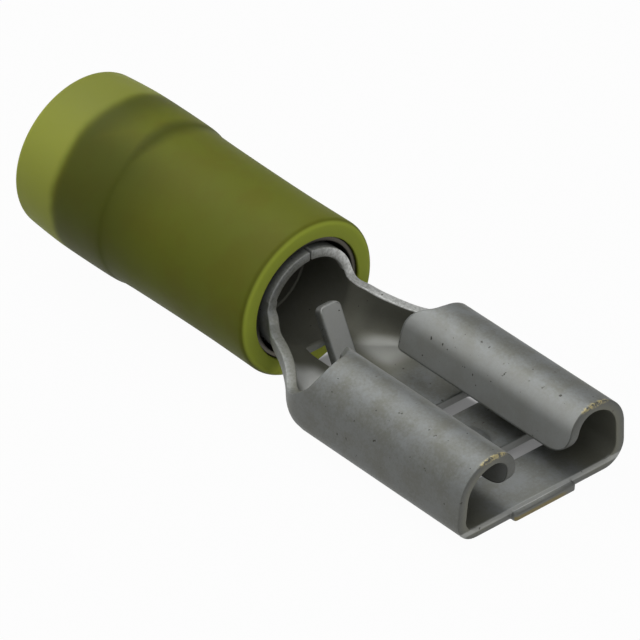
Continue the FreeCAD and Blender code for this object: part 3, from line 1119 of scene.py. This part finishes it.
    def _stretches(self, x: float) -> list[Stretch]:
        """Floor, corner, wall, shoulder, curl and lip of the section at an x.

        Args:
            x: Place along the terminal.

        Returns:
            Length and radius of each, from the middle of the floor on.
        """
        floor, corner_r, lean = eased(self.neck, x)
        slope, lip_slope = math.radians(lean), math.radians(self.lip_lean)
        corner_top = self.under_z + corner_r * (1.0 + math.sin(slope))
        wall_top = eased(self.shoulder_edge, x)[0] if x < self.notch_x else self.wall_top_z
        rise = (wall_top - corner_top) / math.cos(slope)
        bend = max(1.0 - (x - self.nose_x) / self.barrel_fade, self.least_bend)
        wall_r = self.barrel_r / bend
        roll_top = wall_top + self.shoulder_r * (1.0 - math.sin(slope))
        curl_end = roll_top - self.curl_r * (1.0 - math.sin(lip_slope))
        return [
            (floor, 0.0),
            (corner_r * (math.pi / 2.0 + slope), corner_r),
            (wall_r * math.asin(rise / wall_r), wall_r),
            (self.shoulder_r * (math.pi / 2.0 - slope), self.shoulder_r),
            (self.curl_r * (math.pi / 2.0 - lip_slope), self.curl_r),
            ((curl_end - self.lip_z) / math.cos(lip_slope), 0.0),
        ]

    def _length(self, stretches: list[Stretch], row: int) -> float:
        """How far across the sheet a row lies, with each stretch keeping its own rows.

        Args:
            stretches: The section's stretches.
            row: The row.

        Returns:
            The length across the sheet.
        """
        floor, window = stretches[0][0], self.window_half
        widen = (floor - window) / (self.neck[-1][1] - window)
        knots = [(self.stub_rows, window + (self.stub_half - window) * widen),
                 (self.slot_rows, window + (self.slot_half - window) * widen),
                 (self.floor_rows, floor)]
        counts = (self.corner_rows, self.wall_rows, self.shoulder_rows, self.curl_rows,
                  self.lip_rows)
        for (reach, _), count in zip(stretches[1:], counts):
            knots.append((knots[-1][0] + count, knots[-1][1] + reach))
        return self._between(knots, row)

    def _between(self, knots: list[tuple[int, float]], row: int) -> float:
        """How far across the sheet a row lies, evenly spaced between the window's and the knots'.

        Args:
            knots: Rows beyond the window's, with how far across the sheet each lies.
            row: The row.

        Returns:
            The length across the sheet.
        """
        knots = [(0, 0.0), (self.window_rows, self.window_half), *knots]
        k = next(i for i, (end, _) in enumerate(knots[1:]) if row <= end)
        (row_a, a), (row_b, b) = knots[k:k + 2]
        return a + (b - a) * (row - row_a) / (row_b - row_a)

    def _lifted(self, x: float, stretches: list[Stretch], length: float) -> Vector:
        """Place at an x and a length across the sheet, from the middle of the floor's underside."""
        y, z = follow(stretches, length)
        return Vector((x, y, z + self.under_z))

    def _rolled(self, x: float, row: int) -> Vector:
        """Where a place of the flat blank lies on the outer face of the finished terminal.

        Args:
            x: Place along the blank.
            row: Row across the blank.

        Returns:
            The place in the terminal's own axes.
        """
        if x <= self.nose_x + SAME:
            return self._on_barrel(x, row)
        if row > self.wall_row:
            return self._on_roll(x, row)
        stretches = self._stretches(x)
        even = self._between([(self.wall_row, total(stretches[:3]))], row)
        share = smooth_step((x - self.even_x) / self.even_fade)
        length = share * self._length(stretches, row) + (1.0 - share) * even
        return self._lifted(x, stretches, length)

    def _on_barrel(self, x: float, row: int) -> Vector:
        """Place on the round barrel, from the bottom line to the butt seam.

        Args:
            x: Place along the blank.
            row: Row across the blank.

        Returns:
            The place in the terminal's own axes.
        """
        edge_z = self.shoulder_edge[0][1]
        edge = self.barrel_r * (math.pi / 2.0 + math.asin(edge_z / self.barrel_r))
        seam = self.barrel_r * (math.pi - math.asin(self.seam_gap / 2.0 / self.barrel_r))
        length = self._between([(self.wall_row, edge), (self.last_row, seam)], row)
        return self._lifted(x, [(seam, self.barrel_r)], length)

    def _on_roll(self, x: float, row: int) -> Vector:
        """Place on the shoulder, the curl or the lip of the rolled side.

        Args:
            x: Place along the blank.
            row: Row across the blank.

        Returns:
            The place in the terminal's own axes.
        """
        full = self._stretches(self.mouth_x)
        length = self._length(full, row)
        wall, top, end = total(full[:3]), total(full[:4]), total(full)
        height = follow(full, length)[1] + self.under_z
        share = min(max((length - top) / self.top_blend / 2.0 + 0.5, 0.0), 1.0)
        rear = (1.0 - share) * eased(self.climb, height)[0]
        rear += share * eased(self.roll_rear_edge, height)[0]
        x = rear + (self.mouth_x - rear) * (x - self.notch_x) / (self.mouth_x - self.notch_x)
        x, length = rounded_corner((x, length), (self.mouth_x, end), self.lip_front_r)
        rear_corner = (eased(self.roll_rear_edge, self.lip_z)[0], end)
        x, length = rounded_corner((x, length), rear_corner, self.lip_rear_r, -1.0)
        share = min(max((length - wall) / full[3][0], 0.0), 1.0)
        settled = max(self.neck[-1][0] - x, 0.0)
        section = self._stretches(max(x, self.notch_x) + share * settled)
        return self._lifted(x, section, length + total(section[:3]) - wall)

    def _raise_detent(self, mesh: Mesh) -> None:
        """Push the floor up into a shallow round dimple between the slots.

        Args:
            mesh: The stamping's mesh.
        """
        centre = Vector((self.detent_x, 0.0, self.under_z))
        for vert in mesh.verts:
            inside = self.detent_r - (vert.co - centre).length
            vert.co.z += self.detent_rise * smooth_step(inside / self.detent_flank)

    def _edge_at(self, mesh: Mesh, x: float, half: float) -> list[Edge]:
        """Free edges of the floor that run across it at an x, out to a half width.

        Args:
            mesh: The stamping's mesh.
            x: Place along the terminal.
            half: How far out from the middle they reach.

        Returns:
            The edges.
        """
        found = []
        for edge in mesh.edges:
            spots = [v.co for v in edge.verts]
            level = all(abs(p.x - x) < SAME and p.z < self.under_z + SAME for p in spots)
            if edge.is_boundary and level and max(p.y for p in spots) < half + SAME:
                found.append(edge)
        return found

    def _grow(self, mesh: Mesh, edges: list[Edge], step: Vector) -> list[Edge]:
        """Draw free edges out by a step, and give the new free edges.

        Args:
            mesh: The stamping's mesh.
            edges: The free edges.
            step: How far and which way they are drawn.

        Returns:
            The new free edges.
        """
        grown = bmesh.ops.extrude_edge_only(mesh, edges=edges)["geom"]
        moved = {g for g in grown if isinstance(g, bmesh.types.BMVert)}
        bmesh.ops.translate(mesh, verts=list(moved), vec=step)
        return [g for g in grown if isinstance(g, Edge) and set(g.verts) <= moved]

    def _grow_stub(self, mesh: Mesh) -> None:
        """Draw out the stub that is left from the carrier strip."""
        step = Vector((self.stub_length, 0.0, 0.0))
        self._grow(mesh, self._edge_at(mesh, self.mouth_x, self.stub_half), step)

    def _grow_stop(self, mesh: Mesh, rubbed: Layer) -> None:
        """Bend the wire stop up from the front edge of its window.

        Args:
            mesh: The stamping's mesh.
            rubbed: Layer that marks the wire stop.
        """
        root = self._edge_at(mesh, self.hinge_x, self.window_half)
        before = set(mesh.verts)
        slope = math.radians(self.stop_angle)
        bend_r = self.sheet + self.stop_bend_r
        hinge = Vector((self.hinge_x, 0.0, self.under_z + bend_r))
        last = bmesh.ops.spin(mesh, geom=root, cent=hinge, axis=(0.0, 1.0, 0.0), angle=slope,
                              steps=self.bend_rows, use_merge=False, dvec=(0, 0, 0))["geom_last"]
        tip = [g for g in last if isinstance(g, Edge)]
        along = Vector((-math.cos(slope), 0.0, math.sin(slope)))
        rounds = [self.stop_corner_r / self.round_rows] * self.round_rows
        for step in [self.stop_length - self.stop_corner_r] + rounds:
            tip = self._grow(mesh, tip, along * step)
        start = hinge - Vector((math.sin(slope), 0.0, math.cos(slope))) * bend_r
        corner = (self.stop_half, self.stop_length)
        for vert in set(mesh.verts) - before:
            side = vert.co.y * self.stop_half / self.window_half
            reach = (vert.co - start).dot(along)
            vert.co.y, drawn_in = rounded_corner((side, reach), corner, self.stop_corner_r)
            vert.co += along * (drawn_in - reach)
            vert[rubbed] = 1.0

    def _mark_corners(self, mesh: Mesh, layer: Layer) -> None:
        """Note the radius of each corner of the sheet that is rounded once it is thick.

        Args:
            mesh: The stamping's mesh.
            layer: Layer that holds the radius.
        """
        marks = [(self.mouth_x + self.stub_length, self.stub_half, self.stub_corner_r)]
        for x in self.slots_x:
            ends = (x, x + self.slot_length)
            marks += [(end, self.slot_half, self.slot_corner_r) for end in ends]
        for x, half, radius in marks:
            place = Vector((x, half, self.under_z))
            nearest = min(mesh.verts, key=lambda v: (v.co - place).length)
            nearest[layer] = radius

    def _round_corners(self, mesh: Mesh, layer: Layer) -> None:
        """Round the marked corners through the thickness of the sheet.

        Args:
            mesh: The stamping's mesh.
            layer: Layer that holds the radius.
        """
        for radius in (self.slot_corner_r, self.stub_corner_r):
            edges = [e for e in mesh.edges if all(abs(v[layer] - radius) < SAME for v in e.verts)]
            round_edges(mesh, edges, radius, self.round_rows)

    def _break_edges(self, mesh: Mesh, rubbed: Layer, worn: Layer) -> None:
        """Break the sheet's cut edges a little, and the wire stop's more, as stamping does.

        Args:
            mesh: The stamping's mesh.
            rubbed: Layer that marks the wire stop.
            worn: Layer that marks the broken edges.
        """
        for size, stop in ((self.stop_break, True), (self.edge_break, False)):
            sharp = [e for e in cut_edges(mesh) if stop == all(v[rubbed] > 0.5 for v in e.verts)]
            for vert in round_edges(mesh, sharp, size, clamp=False):
                vert[worn] = 0.0 if stop else 1.0

    def _coin(self, mesh: Mesh) -> None:
        """Press the grip grooves into the bore, and the lead-in into the floor's front edge.

        Args:
            mesh: The stamping's mesh.
        """
        bore_r = self.barrel_r - self.sheet
        reach = self.groove_width / 2.0 - self.groove_slope + SAME
        widen = 1.0 + self.groove_depth / bore_r
        floor_top = self.under_z + self.sheet
        slope_x = self.mouth_x - self.lead_in
        for vert in mesh.verts:
            place = vert.co
            in_groove = any(abs(place.x - x) < reach for x in self.grooves_x)
            if in_groove and math.hypot(place.y, place.z) < bore_r + SAME:
                place.y *= widen
                place.z *= widen
            on_top = floor_top - self.edge_break - SAME < place.z < floor_top + SAME
            if on_top and place.x > slope_x:
                place.z -= self.lead_in_drop * min((place.x - slope_x) / self.lead_in, 1.0)


@dataclass(frozen=True)
class Lamp:
    """Square soft lamp, with its place and side in metres."""

    name: str
    place: tuple[float, float, float]
    size: float
    watts: float

    def build(self, aim: Vector) -> None:
        """Put the lamp in the scene.

        Args:
            aim: Where it points.
        """
        data = bpy.data.lights.new(self.name, "AREA")
        data.shape = "SQUARE"
        data.size = self.size
        data.energy = self.watts
        lamp = add_object(self.name, data)
        lamp.location = self.place
        lamp.rotation_euler = (aim - Vector(self.place)).to_track_quat("-Z", "Y").to_euler()


@dataclass(frozen=True)
class ShadedPatch:
    """Patch of the floor below an opening, which looks into the shadow."""

    x: tuple[float, float]
    y: tuple[float, float]
    white: float


@dataclass(frozen=True)
class Studio:
    """White sweep, soft lamps and the camera at the photograph's viewing angle."""

    centre: tuple[float, float, float] = (0.93025, -0.09543, 2.47407)
    view_azimuth: float = 48.891
    view_elevation: float = 31.709
    roll: float = -1.820
    distance: float = 0.228
    lens: float = 376.35
    clip_start: float = 0.01
    floor_half: float = 0.6
    floor_colour: Colour = (0.32, 0.32, 0.32, 1.0)
    floor_show: float = 0.97
    shaded: tuple[ShadedPatch, ...] = (
        ShadedPatch((4.1, 9.8), (-2.35, 2.9), 0.13),
        ShadedPatch((-0.6, 1.3), (0.4, 1.5), 0.13),
    )
    shade_fade: float = 0.25
    world_level: float = 0.40
    lamps: tuple[Lamp, ...] = (
        Lamp("main_softbox", (-0.17, 0.00, 0.27), 0.26, 0.62),
        Lamp("front_softbox", (0.149, -0.116, 0.271), 0.26, 0.27),
        Lamp("side_softbox", (-0.19, -0.20, 0.13), 0.14, 0.08),
    )

    def build(self) -> None:
        """Set the floor, the world, the lamps, the camera and the view transform."""
        aim = Vector(self.centre) * MM
        self._floor()
        self._world()
        for lamp in self.lamps:
            lamp.build(aim)
        self._camera(aim)
        bpy.context.scene.view_settings.view_transform = "Standard"

    def _floor(self) -> None:
        """Wide floor that shows white and keeps the shadow."""
        mesh = bmesh.new()
        bmesh.ops.create_grid(mesh, x_segments=1, y_segments=1, size=self.floor_half)
        data = bpy.data.meshes.new("sweep")
        mesh.to_mesh(data)
        mesh.free()
        data.materials.append(self._floor_material())
        floor = add_object("sweep", data)

    def _floor_material(self) -> bpy.types.Material:
        """White to camera, glossy and transmission rays, and a plain diffuse grey to the rest.

        Returns:
            The finished material.
        """
        level = Matrix.Translation(OWN.to_translation()) @ Matrix.Scale(MM, 4)
        graph = NodeGraph("sweep_white", level)
        path = graph.node("LightPath", {}).outputs
        seen = graph.most(path["Is Camera Ray"], path["Is Glossy Ray"], path["Is Transmission Ray"])
        beside = graph.math("MINIMUM", *(self._off_patch(graph, patch) for patch in self.shaded))
        diffuse = graph.node("BsdfDiffuse", {"Color": self.floor_colour}).outputs[0]
        glow = graph.node("Emission", {}).outputs[0]
        blend = graph.node("MixShader", {0: graph.times(seen, beside), 1: diffuse, 2: glow})
        graph.feed(graph.tree.nodes["Material Output"].inputs["Surface"], blend.outputs[0])
        graph.tree.nodes.remove(graph.shader)
        return graph.material

    def _off_patch(self, graph: NodeGraph, patch: ShadedPatch) -> Socket:
        """Share of plain white on and round a patch.

        Args:
            graph: The floor's nodes, in level axes from the terminal's own origin.
            patch: The patch.

        Returns:
            The share.
        """
        outside = []
        for place, (low, high) in ((graph.x, patch.x), (graph.y, patch.y)):
            off_middle = graph.math("ABSOLUTE", graph.math("SUBTRACT", place, (low + high) / 2.0))
            outside.append(graph.math("SUBTRACT", off_middle, (high - low) / 2.0))
        return graph.band(graph.most(*outside), -self.shade_fade, self.shade_fade, patch.white,
                          self.floor_show)

    def _world(self) -> None:
        """Plain pale surroundings."""
        world = bpy.data.worlds.new("room")
        bpy.context.scene.world = world
        world.use_nodes = True
        back = world.node_tree.nodes["Background"]
        back.inputs["Color"].default_value = (1.0, 1.0, 1.0, 1.0)
        back.inputs["Strength"].default_value = self.world_level

    def _camera(self, aim: Vector) -> None:
        """Long lens at the photograph's angle.

        Args:
            aim: Where it looks.
        """
        a, e = math.radians(self.view_azimuth), math.radians(self.view_elevation)
        back = Vector((math.sin(a) * math.cos(e), -math.cos(a) * math.cos(e), math.sin(e)))
        data = bpy.data.cameras.new("photo_camera")
        data.lens = self.lens
        data.clip_start = self.clip_start
        camera = add_object("photo_camera", data)
        camera.location = aim + back * self.distance
        level = back.to_track_quat("Z", "Y").to_matrix()
        turn = level @ Matrix.Rotation(math.radians(self.roll), 3, "Z")
        camera.rotation_euler = turn.to_euler()
        bpy.context.scene.camera = camera


def main() -> None:
    """Build the terminal piece by piece, then the studio."""
    logging.basicConfig(level=logging.INFO, format="%(name)s: %(message)s")
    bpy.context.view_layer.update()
    sleeve = GripSleeve()
    sleeve.build()
    InsulatingTube(sleeve).build()
    TerminalBody().build()
    Studio().build()


if __name__ == "__main__":
    main()
